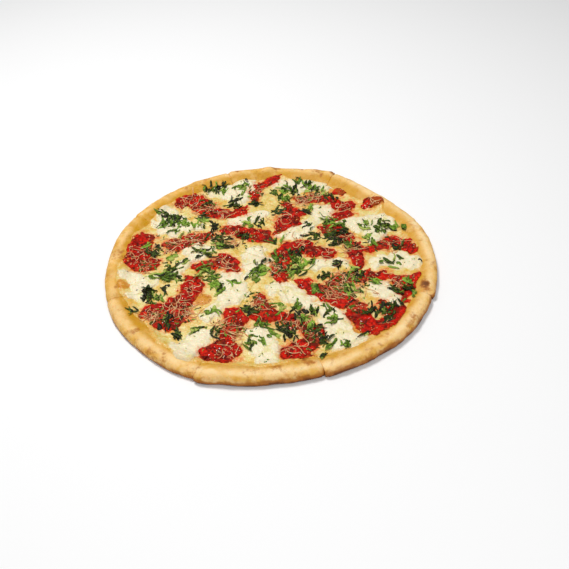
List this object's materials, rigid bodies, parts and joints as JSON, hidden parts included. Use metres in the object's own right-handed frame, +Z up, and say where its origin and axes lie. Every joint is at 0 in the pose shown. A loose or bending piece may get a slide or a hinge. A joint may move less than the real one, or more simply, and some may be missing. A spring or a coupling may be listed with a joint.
{
  "type": "pizza",
  "caption": "Large thin-crust round pizza cut in slices that still lie together, with melted white cheese, patches of tomato sauce, chopped basil and grated hard cheese.",
  "frame": {"origin": "on the table, under the crossing of the four cuts, which is the middle of the round", "axes": "+Z up through the middle of the round, +Y away from the side seen in front, +X to the right"},
  "size_m": [0.4501, 0.4441, 0.0181],
  "materials": {
    "dough": "baked golden crust, matt with browned blisters",
    "cheese": "melted fresh cheese, satin with a little oil, with chopped basil and grated hard cheese on it",
    "sauce": "wet crushed tomato, glossy, with chopped basil and grated hard cheese on it"
  },
  "bodies": {
    "root": {"slice_1_cheese": "cheese", "slice_1_dough": "dough", "slice_1_sauce_c": "sauce", "slice_1_sauce_d": "sauce", "slice_1_sauce_e": "sauce", "slice_1_sauce_o": "sauce", "slice_1_sauce_p": "sauce", "slice_2_cheese": "cheese", "slice_2_dough": "dough", "slice_2_sauce_b": "sauce", "slice_2_sauce_e": "sauce", "slice_2_sauce_f": "sauce", "slice_2_sauce_i": "sauce", "slice_3_cheese": "cheese", "slice_3_dough": "dough", "slice_3_sauce_a": "sauce", "slice_3_sauce_g": "sauce", "slice_3_sauce_i": "sauce", "slice_4_cheese": "cheese", "slice_4_dough": "dough", "slice_4_sauce_g": "sauce", "slice_4_sauce_h": "sauce", "slice_4_sauce_j": "sauce", "slice_5_cheese": "cheese", "slice_5_dough": "dough", "slice_5_sauce_k": "sauce", "slice_5_sauce_l": "sauce", "slice_6_cheese": "cheese", "slice_6_dough": "dough", "slice_6_sauce_l": "sauce", "slice_6_sauce_m": "sauce", "slice_6_sauce_n": "sauce", "slice_7_cheese": "cheese", "slice_7_dough": "dough", "slice_7_sauce_n": "sauce", "slice_7_sauce_o": "sauce", "slice_7_sauce_r": "sauce", "slice_7_sauce_s": "sauce", "slice_7_sauce_t": "sauce", "slice_7_sauce_u": "sauce", "slice_8_cheese": "cheese", "slice_8_dough": "dough", "slice_8_sauce_o": "sauce", "slice_8_sauce_p": "sauce", "slice_8_sauce_q": "sauce", "slice_8_sauce_s": "sauce", "slice_8_sauce_t": "sauce"}
  },
  "joints": []
}
